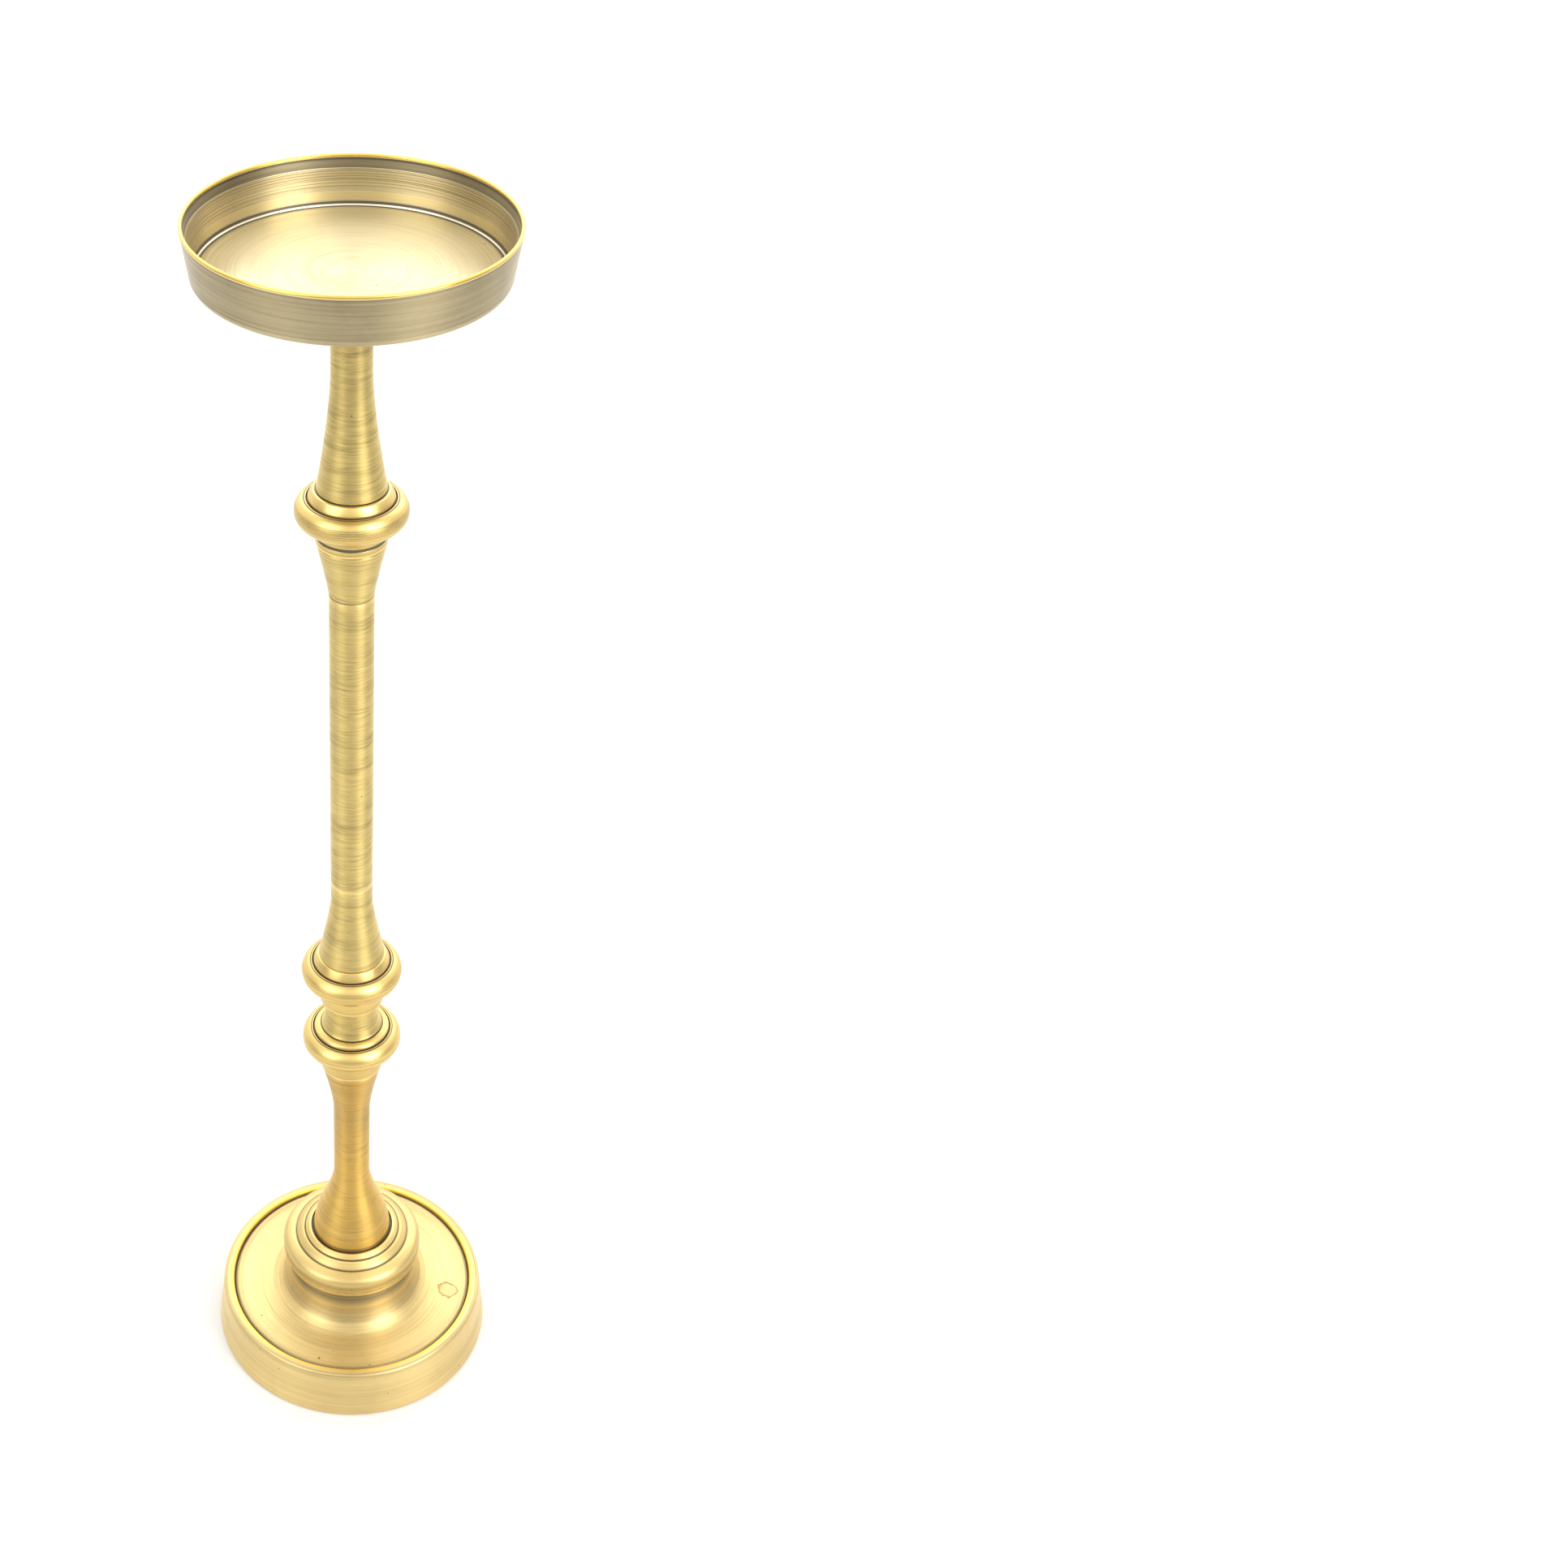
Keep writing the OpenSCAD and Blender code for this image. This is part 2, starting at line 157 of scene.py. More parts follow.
class StudioSizes(bpy.types.PropertyGroup):
    """Where the camera stands"""

    camera_back: bpy.props.FloatProperty(
        name="Camera back", description="Level distance from the stem to the camera", default=0.6542,
        unit="LENGTH"
    )
    camera_height: bpy.props.FloatProperty(
        name="Camera height", description="Height of the camera over the floor", default=0.79595,
        unit="LENGTH"
    )
    camera_tilt: bpy.props.FloatProperty(
        name="Camera tilt", description="How far the camera looks down", default=math.radians(37.61),
        subtype="ANGLE"
    )
    lens: bpy.props.FloatProperty(
        name="Lens", description="Focal length in millimetres", default=52.174, min=20, max=200
    )
    shift: bpy.props.FloatProperty(
        name="Sideways shift", description="Lens shift that stands the holder left of the middle",
        default=0.2757
    )


def sizes():
    return bpy.context.scene.holder_sizes


def mm(name):
    """One of the holder's sizes, in millimetres."""
    return getattr(sizes(), name) / MM


def colours():
    return bpy.context.scene.holder_colours


# ------------------------------------------------------------- contours
# A contour is a list of (radius, height) points in millimetres.  It runs
# with the metal on its left, so a left turn is an outer corner.  A third
# number on a point darkens it, from 0 to 1: dark wax left there, and
# painted shade in grooves, seams and under beads.  Below 0 it is polish
# that lightens it: edges worn bright, and painted highlights and
# reflections on bead tops, rims, the pan's floor and wall and its fillet.

def span(node):
    """Lowest height, highest height and largest radius of a frame node, in millimetres."""
    low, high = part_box(node)
    return low[2] / MM, high[2] / MM, max(high[0], high[1]) / MM


def arc(radius, height, size, start, end, steps=12):
    """Points on an arc about (radius, height), from one angle in degrees to another."""
    angles = [math.radians(start + (end - start) * i / steps) for i in range(steps + 1)]
    return [(radius + size * math.cos(a), height + size * math.sin(a)) for a in angles]


def flare(r0, z0, r1, z1, power, steps=20):
    """Points that leave (r0, z0) straight and open late towards (r1, z1)."""
    parts = [i / steps for i in range(steps + 1)]
    return [(r0 + (r1 - r0) * t ** power, z0 + (z1 - z0) * t) for t in parts]


def taper(r0, z0, r1, z1, power, steps=28):
    """Points that leave (r0, z0) open and end straight at (r1, z1)."""
    return flare(r1, z1, r0, z0, power, steps)[::-1]


def ogee(r0, z0, r1, z1, steps=28):
    """Points along a bell, round below and hollow above."""
    points = []
    for i in range(steps + 1):
        t = i / steps
        share = 0.35 * (1 + math.cos(math.pi * t)) + 0.3 * (1 - t)
        points.append((r1 + (r0 - r1) * share, z0 + (z1 - z0) * t))
    return points


def line(r0, z0, r1, z1, steps):
    """Evenly spaced points on a straight line."""
    return flare(r0, z0, r1, z1, 1, steps)


def toned(points, amount):
    """The same points with a mark on them: above 0 darker (dark wax and painted shade), below 0 lighter
    (edges worn bright and painted highlights and reflections).
    """
    return [(point[0], point[1], amount) for point in points]


def scored(points, cuts, depth=0.07, width=0.22, dark=0.9):
    """The same contour with a fine turned groove cut at each of the given places along it."""
    lengths = [0]
    for a, b in zip(points, points[1:]):
        lengths.append(lengths[-1] + math.dist(a[:2], b[:2]))
    out = []
    marks = sorted(c * lengths[-1] for c in cuts)
    for i, point in enumerate(points):
        if not any(abs(lengths[i] - m) < width for m in marks):
            out.append((lengths[i], point))
    for mark in marks:
        i = max(k for k in range(len(lengths) - 1) if lengths[k] <= mark)
        (ra, za), (rb, zb) = points[i][:2], points[i + 1][:2]
        size = math.dist((ra, za), (rb, zb))
        dr, dz = (rb - ra) / size, (zb - za) / size
        for offset, sink, wax in ((-width / 2, 0, 0.1), (0, depth, dark), (width / 2, 0, 0.1)):
            along = mark + offset - lengths[i]
            out.append((mark + offset, (ra + dr * along - dz * sink, za + dz * along + dr * sink, wax)))
    return [point for _, point in sorted(out)]


def crease_of(points, closed, reach):
    """How hollow (above 0) or how proud (below 0) the contour is at each point."""
    count = len(points)
    turns, lengths = [], [0]
    for i, here in enumerate(points):
        before, after = points[i - 1], points[(i + 1) % count]
        if not closed and i in (0, count - 1):
            turns.append(0)
        else:
            a = math.atan2(here[1] - before[1], here[0] - before[0])
            b = math.atan2(after[1] - here[1], after[0] - here[0])
            turns.append((b - a + math.pi) % FULL_TURN - math.pi)
        if i:
            lengths.append(lengths[-1] + math.dist(before[:2], here[:2]))
    creases = []
    for i in range(count):
        total = 0
        for k, turn in enumerate(turns):
            gap = abs(lengths[i] - lengths[k])
            if gap < reach:
                total -= turn * (1 - gap / reach) ** 2
        # The point's own mark is added: dark wax and painted shade above 0, edges worn bright and painted
        # highlights below 0.
        wax = points[i][2] if len(points[i]) > 2 else 0
        creases.append(max(-2.0, min(1.0, total / math.radians(70) + wax)))
    return creases


# --------------------------------------------------------------- pieces

def finish_piece(mesh_piece, body, material, replaced):
    """Places a piece on its body and hides what it stands for."""
    bpy.context.scene.collection.objects.link(mesh_piece)
    mesh_piece.data.materials.append(material)
    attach(mesh_piece, body)
    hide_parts(replaced)


def turned(name, points, body, material, replaced, rounding=1.0):
    """A piece turned on the lathe: the contour is drawn, its corners are rounded, and it is spun."""
    group = sizes()
    closed = points[0][0] > 0.001 and points[-1][0] > 0.001
    clean = [points[0]]
    for point in points[1:]:
        if math.dist(point[:2], clean[-1][:2]) > 0.012:
            clean.append(point)
    if closed and math.dist(clean[0][:2], clean[-1][:2]) < 0.012:
        clean.pop()
    creases = crease_of(clean, closed, group.crease_reach / MM)

    bm = bmesh.new()
    crease_layer = bm.verts.layers.float.new("crease")
    verts = [bm.verts.new((point[0] * MM, 0, point[1] * MM)) for point in clean]
    for vert, value in zip(verts, creases):
        vert[crease_layer] = value
    pairs = list(zip(verts, verts[1:]))
    if closed:
        pairs.append((verts[-1], verts[0]))
    for a, b in pairs:
        bm.edges.new((a, b))

    corners = []
    for vert in verts:
        if len(vert.link_edges) == 2:
            a, b = [(e.other_vert(vert).co - vert.co) for e in vert.link_edges]
            if math.pi - a.angle(b) > group.corner_angle:
                corners.append(vert)
    if corners and rounding > 0:
        bmesh.ops.bevel(
            bm, geom=corners, offset=group.corner_round * rounding, offset_type="OFFSET", affect="VERTICES",
            segments=3, profile=0.5, material=-1, clamp_overlap=True,
        )
    reach = max(point[0] for point in clean)
    steps = group.turn_steps if reach > 25 else int(group.turn_steps * 0.6)
    bmesh.ops.spin(
        bm, geom=bm.verts[:] + bm.edges[:], cent=(0, 0, 0), axis=(0, 0, 1), angle=FULL_TURN,
        steps=steps, use_merge=True, use_duplicate=False,
    )
    bmesh.ops.remove_doubles(bm, verts=bm.verts[:], dist=0.002 * MM)
    bmesh.ops.recalc_face_normals(bm, faces=bm.faces[:])
    for face in bm.faces:
        face.smooth = True
    mesh = bpy.data.meshes.new(name)
    bm.to_mesh(mesh)
    bm.free()
    mesh.set_sharp_from_angle(angle=math.radians(50))
    piece = bpy.data.objects.new(name, mesh)
    finish_piece(piece, body, material, replaced)
    return piece


# -------------------------------------------------------------- shaders

class Value:
    """A shader socket that takes part in arithmetic; each operation adds its Math node."""

    def __init__(self, shader, socket):
        self.shader = shader
        self.socket = socket

    def sibling(self, output):
        """Another output of the same node."""
        return Value(self.shader, self.socket.node.outputs[output])

    def math(self, operation, *others):
        return self.shader.node("ShaderNodeMath", {"operation": operation}, [self, *others])

    def __add__(self, other):
        return self.math("ADD", other)

    def __sub__(self, other):
        return self.math("SUBTRACT", other)

    def __rsub__(self, other):
        return self.shader.node("ShaderNodeMath", {"operation": "SUBTRACT"}, [other, self])

    def __mul__(self, other):
        return self.math("MULTIPLY", other)

    def __truediv__(self, other):
        return self.math("DIVIDE", other)

    def __pow__(self, other):
        return self.math("POWER", other)

    __radd__ = __add__
    __rmul__ = __mul__

    def at_least(self, other):
        return self.math("MAXIMUM", other)

    def at_most(self, other):
        return self.math("MINIMUM", other)

    def step(self, low, high):
        """0 below low, 1 above high, and smooth between them."""
        return self.shader.node(
            "ShaderNodeMapRange", {"interpolation_type": "SMOOTHSTEP"},
            {"Value": self, "From Min": low, "From Max": high, "To Min": 0.0, "To Max": 1.0},
        )


class Shader:
    """A material's node tree, built up one node at a time."""

    def __init__(self, name, tree=None):
        if tree is None:
            self.material = bpy.data.materials.new(name)
            self.material.use_nodes = True
            tree = self.material.node_tree
        self.tree = tree
        self.tree.nodes.clear()

    def node(self, kind, settings=None, inputs=None, output=0):
        """Adds a node, sets its settings, then its sockets, and gives back one output."""
        made = self.tree.nodes.new(kind)
        for key, value in (settings or {}).items():
            setattr(made, key, value)
        pairs = inputs.items() if isinstance(inputs, dict) else enumerate(inputs or [])
        for key, value in pairs:
            socket = made.inputs[key]
            if isinstance(value, Value):
                self.tree.links.new(value.socket, socket)
            elif hasattr(value, "__len__") and len(value) < len(socket.default_value):
                socket.default_value = (*value, 1)
            else:
                socket.default_value = value
        return Value(self, made.outputs[output]) if made.outputs else None

    def mix(self, factor, low, high):
        """Two colours mixed by a factor from 0 to 1."""
        made = self.tree.nodes.new("ShaderNodeMix")
        made.data_type = "RGBA"
        made.clamp_factor = True
        for socket, value in ((made.inputs[0], factor), (made.inputs[6], low), (made.inputs[7], high)):
            if isinstance(value, Value):
                self.tree.links.new(value.socket, socket)
            elif hasattr(value, "__len__"):
                socket.default_value = (*value[:3], 1)
            else:
                socket.default_value = value
        return Value(self, made.outputs[2])

    def surface(self, inputs, bump, bump_strength, bump_distance):
        """Ends the tree in a Principled shader with a bump."""
        normal = self.node(
            "ShaderNodeBump", None,
            {"Strength": bump_strength, "Distance": bump_distance, "Height": bump},
        )
        shader = self.node("ShaderNodeBsdfPrincipled", None, {**inputs, "Normal": normal})
        self.node("ShaderNodeOutputMaterial", None, {"Surface": shader})
        return self.material


def place(shader):
    """Object coordinates, and the spot on the lathe: radius, height and direction round the axis."""
    position = shader.node("ShaderNodeTexCoord", None, None, OBJECT_COORDINATES)
    x = shader.node("ShaderNodeSeparateXYZ", None, [position])
    y, height = x.sibling(1), x.sibling(2)
    radius = ((x * x + y * y) ** 0.5).at_least(0.4 * MM)
    return position, (radius, height, x / radius, y / radius)


def rings(shader, spot, pitch, swing, detail=2.0, rough=0.55):
    """Noise drawn out round the axis, as a lathe tool or a brush leaves it."""
    radius, height, cosine, sine = spot
    scale = 1 / pitch
    vector = shader.node("ShaderNodeCombineXYZ", None, [cosine * swing, sine * swing, height * scale])
    return shader.node(
        "ShaderNodeTexNoise", {"noise_dimensions": "4D"},
        {"Vector": vector, "W": radius * scale, "Scale": 1.0, "Detail": detail, "Roughness": rough},
    )


def brushed_brass(name, tone, edge_tone, lines=0.6, wax=0.35, shine=0.42, grain=0.85, marks=()):
    """Antique brass brushed round the axis: dark turning lines, dark wax and painted shade in the hollows,
    edges worn bright, and painted highlights and reflections where a mark is below 0.
    """
    tones = colours()
    shader = Shader(name)
    position, spot = place(shader)
    fine = rings(shader, spot, 0.4 * MM, 0.9, 2.0, 0.6)
    medium = rings(shader, spot, 0.95 * MM, 0.45, 3.0, 0.75)
    dashes = rings(shader, spot, 0.5 * MM, 1.5, 1.0, 0.5)
    bands = rings(shader, spot, 5 * MM, 0.25, 3.0, 0.6)
    cloud = shader.node(
        "ShaderNodeTexNoise", None, {"Vector": position, "Scale": 70.0, "Detail": 4.0, "Roughness": 0.65}
    )
    pits = shader.node(
        "ShaderNodeTexVoronoi", {"feature": "F1"}, {"Vector": position, "Scale": 260.0, "Randomness": 1.0}
    )
    picked = shader.node("ShaderNodeSeparateColor", None, [pits.sibling("Color")])
    pit = (1 - pits.step(0.04, 0.11)) * picked.step(0.93, 0.95)
    crease = shader.node("ShaderNodeAttribute", {"attribute_name": "crease"}, None, 2)
    # Above 0 the colour darkens: dark wax in hollows, and painted shade in grooves, seams and corners that
    # fall in shadow.
    hollow = crease.at_least(0.0)
    # Below 0 the colour lightens: edges worn bright, and painted highlights and reflections.
    proud = (crease * -1).at_least(0.0)

    group = bands.step(0.36, 0.64) * 0.5 + 0.5
    streaks = (
        medium.step(0.42, 0.66) * 0.26 + fine.step(0.38, 0.66) * 0.46 + dashes.step(0.58, 0.7) * 0.3
    ) * group * lines
    # How far the colour goes dark: by how hollow the contour is (dark wax and painted shade), plus random
    # cloud and rings of tarnish.
    patina_and_shade_amount = (
        hollow.step(0.05, 0.75) * (0.75 + medium * 0.4)
        + cloud.step(0.45, 0.75) * wax * 0.35
        + bands.step(0.5, 0.7) * wax * 0.35
    )
    colour = shader.mix(streaks, tone, tones.brass_deep)
    colour = shader.mix(patina_and_shade_amount, colour, tones.patina_and_shade)
    # Proud or lightened places take the edge tone: worn edges and painted highlights.
    colour = shader.mix(proud.step(0.15, 0.8) * 0.7, colour, edge_tone)
    # Painted reflection: deep gold on the most proud or lightened places, such as the rims.
    colour = shader.mix(proud.step(0.95, 1.2) * 0.8, colour, tones.gilt_reflection)
    # Painted highlight: a pale line where the mark is strongest, on the pan's fillet.
    colour = shader.mix(proud.step(1.5, 1.75) * 0.9, colour, tones.highlit)
    for centre, size, fill, mark_tone in marks:
        gap = shader.node("ShaderNodeVectorMath", {"operation": "DISTANCE"}, [position, centre], 1)
        edge = gap / size + (cloud - 0.5) * 2.6
        inside = 1 - edge.step(0.82, 0.95)
        outline = inside * edge.step(0.6, 0.8)
        colour = shader.mix(inside * fill + outline * 0.85, colour, mark_tone)
    colour = shader.mix(pit * 0.85, colour, tones.patina_and_shade)
    roughness = (
        shine + fine * 0.06 + streaks * 0.14 + patina_and_shade_amount * 0.12 + pit * 0.3 - proud.at_most(1.2) * 0.13
    )
    return shader.surface(
        {
            "Base Color": colour,
            "Metallic": 1.0,
            "Roughness": roughness,
            "Anisotropic": grain,
            "Anisotropic Rotation": 0.25,
            "Coat Weight": 0.35,
            "Coat Roughness": 0.22,
            "Coat IOR": 1.45,
        },
        bump=medium * 0.5 + fine * 0.4 - pit * 1.5,
        bump_strength=0.4,
        bump_distance=0.03 * MM,
    )


def plated_steel(name):
    """Zinc-plated steel with a faint spangle and turning lines."""
    tones = colours()
    shader = Shader(name)
    position, spot = place(shader)
    fine = rings(shader, spot, 0.4 * MM, 3.0)
    spangle = shader.node("ShaderNodeTexNoise", None, {"Vector": position, "Scale": 420.0, "Detail": 3.0})
    colour = shader.mix(spangle.step(0.4, 0.65) * 0.4, tones.steel, (0.36, 0.37, 0.36))
    return shader.surface(
        {"Base Color": colour, "Metallic": 1.0, "Roughness": 0.3 + fine.step(0.4, 0.7) * 0.2},
        bump=fine + spangle * 0.4, bump_strength=0.3, bump_distance=0.03 * MM,
    )


def rough_casting(name):
    """Sand-cast iron with scale and a little rust."""
    tones = colours()
    shader = Shader(name)
    position = shader.node("ShaderNodeTexCoord", None, None, OBJECT_COORDINATES)
    grain = shader.node("ShaderNodeTexNoise", None, {"Vector": position, "Scale": 900.0, "Detail": 5.0})
    rust = shader.node("ShaderNodeTexNoise", None, {"Vector": position, "Scale": 70.0, "Detail": 5.0})
    colour = shader.mix(rust.step(0.52, 0.7) * 0.6, tones.iron, (0.12, 0.05, 0.02))
    return shader.surface(
        {"Base Color": colour, "Metallic": 0.4, "Roughness": 0.65 + grain * 0.2},
        bump=grain, bump_strength=0.8, bump_distance=0.25 * MM,
    )


def pressed_fibre(name):
    """Vulcanised fibre: flat flecks in a brown board."""
    tones = colours()
    shader = Shader(name)
    position = shader.node("ShaderNodeTexCoord", None, None, OBJECT_COORDINATES)
    fleck = shader.node("ShaderNodeTexNoise", None, {"Vector": position, "Scale": 1500.0, "Detail": 4.0})
    colour = shader.mix(fleck.step(0.4, 0.65), tones.fibre, (0.32, 0.19, 0.1))
    return shader.surface(
        {"Base Color": colour, "Roughness": 0.75}, bump=fleck, bump_strength=0.5, bump_distance=0.05 * MM
    )


def wool_felt(name):
    """Pressed wool felt: soft matted fibres."""
    tones = colours()
    shader = Shader(name)
    position = shader.node("ShaderNodeTexCoord", None, None, OBJECT_COORDINATES)
    mat = shader.node(
        "ShaderNodeTexNoise", None, {"Vector": position, "Scale": 1800.0, "Detail": 6.0, "Distortion": 1.2}
    )
    patch = shader.node("ShaderNodeTexNoise", None, {"Vector": position, "Scale": 90.0, "Detail": 3.0})
    colour = shader.mix(mat.step(0.35, 0.7) * 0.7, tones.felt, (0.06, 0.11, 0.075))
    colour = shader.mix(patch.step(0.45, 0.75) * 0.3, colour, (0.016, 0.03, 0.02))
    return shader.surface(
        {"Base Color": colour, "Roughness": 0.95, "Sheen Weight": 0.4, "Sheen Roughness": 0.5},
        bump=mat, bump_strength=0.9, bump_distance=0.2 * MM,
    )


def material_named(name, maker, **options):
    """The material of that name, made the first time it is asked for."""
    return bpy.data.materials.get(name) or maker(name, **options)


def stem_finish():
    return material_named(
        "brushed_brass_stem", brushed_brass, tone=colours().brass, edge_tone=colours().rubbed_and_highlit,
        lines=1.0, wax=0.4,
    )


def column_finish():
    return material_named(
        "brushed_brass_column", brushed_brass, tone=colours().brass_warm, edge_tone=colours().rubbed_and_highlit,
        lines=0.7, wax=0.3,
    )


def collar_finish():
    return material_named(
        "brushed_brass_collars", brushed_brass, tone=colours().brass_rich, edge_tone=colours().rubbed_and_highlit,
        lines=0.5, wax=0.2, shine=0.37, grain=0.5,
    )


def stepped_finish():
    return material_named(
        "brushed_brass_stepped", brushed_brass, tone=colours().brass_dull, edge_tone=colours().rubbed_and_highlit,
        lines=0.5, wax=0.25, shine=0.4, grain=0.5,
    )


def pan_finish():
    return material_named(
        # The pan's lightened places take a pale gold painted highlight.
        "brushed_brass_pan", brushed_brass, tone=colours().brass_grey, edge_tone=colours().pan_highlight,
        lines=1.0, wax=0.35, shine=0.4,
    )


def base_finish():
    tones = colours()
    plate = 22 * MM
    blemishes = (
        ((41.4 * MM, -8.3 * MM, plate), 4.4 * MM, 0.25, tones.stain),
        ((-13.7 * MM, -44.9 * MM, plate), 0.5 * MM, 0.95, tones.patina_and_shade),
    )
    return material_named(
        # The base's proud edges take the deep gold painted reflection.
        "brushed_brass_base", brushed_brass, tone=tones.brass_pale, edge_tone=tones.gilt_reflection,
        lines=0.6, wax=0.25, shine=0.42, grain=0.75, marks=blemishes,
    )


# ------------------------------------------------------------- operators

class HOLDER_OT_pan(bpy.types.Operator):
    """Turn the pan: beaded rim, flared wall with turned ridges, and a flat floor"""

    bl_idname = "holder.pan"
    bl_label = "Pan"

    def execute(self, context):
        low, top, reach = span("pan")
        foot, bead, wall = mm("pan_foot"), mm("rim_bead"), mm("pan_wall")
        seat = low + mm("pan_floor")
        lip = reach - 0.25 - wall
        inner_foot = foot - wall
        fillet = (inner_foot - 1.15, seat + 0.78, 0.98)

        outside = line(2, low, foot - 3.4, low, 10)
        outside += arc(foot - 2.2, low + 2.2, 2.2, -90, -6, 10)
        outside += line(foot + 0.02, low + 2.4, reach - 0.3, top - bead - 0.75, 14)
        # Painted shade: the outer wall is a little darker, for the dim reflection it shows.
        points = [(0, low)] + toned(outside, 0.26)
        # Painted highlight and reflection: the rim bead is lightened towards pale and deep gold.
        points += toned(arc(reach - bead, top - bead, bead, -50, 205, 22), -0.6)
        # Painted shade: a dark line under the rim bead and a darker grey stripe on the flared lip.
        points += [(lip + 0.02, top - 1.32, 0.9), (lip + 0.1, top - 1.46, 1)]
        points += toned(line(lip + 0.02, top - 1.7, lip - 0.72, top - 4.2, 8), 0.45)
        points += [
            (lip - 0.86, top - 4.35),
            (lip - 0.93, top - 4.5),
            (lip - 0.86, top - 4.68, 0.6),
            (lip - 0.9, top - 4.85),
            (lip - 0.98, top - 4.95),
            (lip - 0.93, top - 5.15, 0.5),
            (lip - 0.96, top - 5.4),
        ]
        # Painted highlight: the inner wall is lightened, while its turned lines stay dark.
        inside = toned(line(lip - 0.98, top - 5.6, inner_foot + 0.62, top - 11.3, 24), -0.45)
        points += scored(inside, (0.1, 0.24, 0.37, 0.46, 0.62, 0.8), 0.03, 0.2, 0.35)
        points += [(inner_foot + 0.48, top - 11.6)]
        # Painted highlight: the lower inner wall is lightened more.
        points += toned(line(inner_foot + 0.42, top - 12, inner_foot + 0.28, seat + 1.6, 6), -0.85)
        points += [
            (inner_foot + 0.12, seat + 1, 0.5),
            (inner_foot - 0.06, seat + 0.62, 1),
            (inner_foot - 0.14, seat + 0.5, 0.8),
        ]
        points += toned(arc(*fillet, -16, -26, 2), 0.3)
        # Painted highlight: a pale line along the middle of the fillet.
        points += toned(arc(*fillet, -34, -54, 3), -2.6)
        points += toned(arc(*fillet, -62, -84, 3), 0.2)
        points += [
            (inner_foot - 1.2, seat - 0.2, 0.5),
            (inner_foot - 1.34, seat - 0.2, 1),
            (inner_foot - 1.6, seat - 0.02, 0.8),
            (inner_foot - 2, seat, 0.3),
        ]
        # Painted reflection: the floor is lightened towards pale gold.
        points += toned(line(inner_foot - 3, seat, 2, seat, 16) + [(0, seat)], -0.45)
        turned("pan_dish", points, "tray", pan_finish(), "pan")
        return {"FINISHED"}


class HOLDER_OT_collars(bpy.types.Operator):
    """Turn the three beaded collars"""

    bl_idname = "holder.collars"
    bl_label = "Collars"

    def execute(self, context):
        bore, bead, cap, foot = mm("rod_hole"), mm("bead_section"), mm("cap_radius"), mm("foot_radius")
        for node, cut in COLLARS.items():
            low, top, reach = span(node)
            middle = top - cut["cap"]
            ring = reach - bead
            # Lower edge of the painted shadow on the foot under the bead
            shadow_band = middle - 8.65 - cut["shadow_band"]
            points = [
                (bore, top), (bore, low), (foot - 0.5, low),
                (foot - 0.12, low + 0.35, 0.15), (foot, low + 0.75, -0.5), (foot, low + 1.15, -0.3),
                (foot - 0.05, low + 1.35, 0.3), (foot, low + 1.7, 0.2), (foot, shadow_band - 0.15, 0.2),
                (foot - 0.15, shadow_band, 0.45), (foot - 0.15, middle - 8.6, 0.45), (foot, middle - 8.4),
                # Painted shade under the bead, on the top of the foot and the bead's underside
                (foot - 0.1, middle - 7.6), (foot - 0.3, middle - 6.6, 0.5),
                (foot - 0.3, middle - 5.6, 0.8),
            ]
            points += toned(arc(ring, middle, bead, -112, -84, 6), 0.75)
            # Dark wax and painted shade on the lower front of the bead; a value below 0 lightens it instead
            points += toned(arc(ring, middle, bead, -82, -14, 20), cut["front_tone_and_shade"] / 2)
            points += scored(toned(arc(ring, middle, bead, -11, 30, 14), cut["front_tone_and_shade"]), cut["lines"], 0.05)
            # Painted highlight on the top of the bead
            points += toned(arc(ring, middle, bead, 33, 66, 10), -0.35)
            # Dark wax and painted shade in the groove between the bead and the cap
            points += toned(arc(ring, middle, bead, 70, 77, 3), 0.95)
            points += toned(line(ring + 0.9, middle + 4.75, cap + 0.35, middle + 4.2, 3), 1.3)
            points += [
                (cap + 0.05, middle + 4.15, 1.4), (cap, middle + 4.6, 0.3), (cap, middle + 5.3),
                (cap - 0.3, middle + 5.9, -0.3), (cap - 1.6, top - 0.16), (cap - 2.1, top - 0.02, 0.2),
                (cap - 2.5, top, 1),
            ]
            turned("turned_" + node, points, "stand", collar_finish(), node)
        return {"FINISHED"}


class HOLDER_OT_upper_taper(bpy.types.Operator):
    """Turn the long taper under the pan"""

    bl_idname = "holder.upper_taper"
    bl_label = "Upper taper"

    def execute(self, context):
        bore, waist = mm("rod_hole"), mm("taper_waist")
        low, top, reach = span("upper_stem")
        socket, socket_floor = bore + 1.85, low + 46
        neck = 10.9
        points = [
            (socket, top), (socket, socket_floor), (bore, socket_floor), (bore, low),
            (reach - 0.3, low, 1), (reach - 0.02, low + 0.25, 0.7),
        ]
        points += taper(reach, low + 0.6, waist, low + 42.6, 1.5)
        points += flare(waist, top - 16, neck, top - 1.2, 2.2, 16)
        points += [(neck, top - 0.3), (neck - 0.3, top)]
        turned("upper_taper", points, "stand", stem_finish(), "upper_stem")
        return {"FINISHED"}


